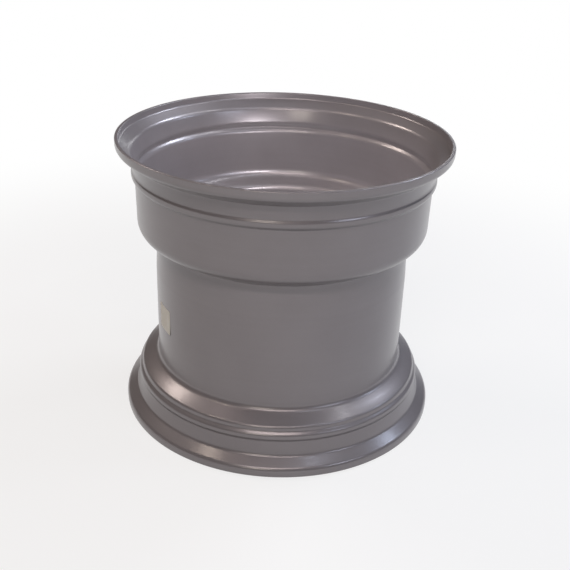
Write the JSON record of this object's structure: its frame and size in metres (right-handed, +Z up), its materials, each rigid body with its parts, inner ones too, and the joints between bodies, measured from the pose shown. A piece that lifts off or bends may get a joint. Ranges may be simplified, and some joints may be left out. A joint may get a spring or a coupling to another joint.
{
  "type": "wheel rim",
  "caption": "Wide drop-centre steel wheel rim rolled from one sheet, with flared flanges, bead humps, a rounded shoulder and a deep well, standing on one flange.",
  "frame": {"origin": "centre of the lower cut edge, where the rim's axis meets the surface that it stands on", "axes": "+Z up along the rim's axis, +Y towards the valve hole"},
  "size_m": [0.616, 0.6158, 0.539],
  "materials": {
    "rim_paint": "silver-grey semi-gloss paint"
  },
  "bodies": {
    "root": {"rim": "rim_paint"}
  },
  "joints": []
}
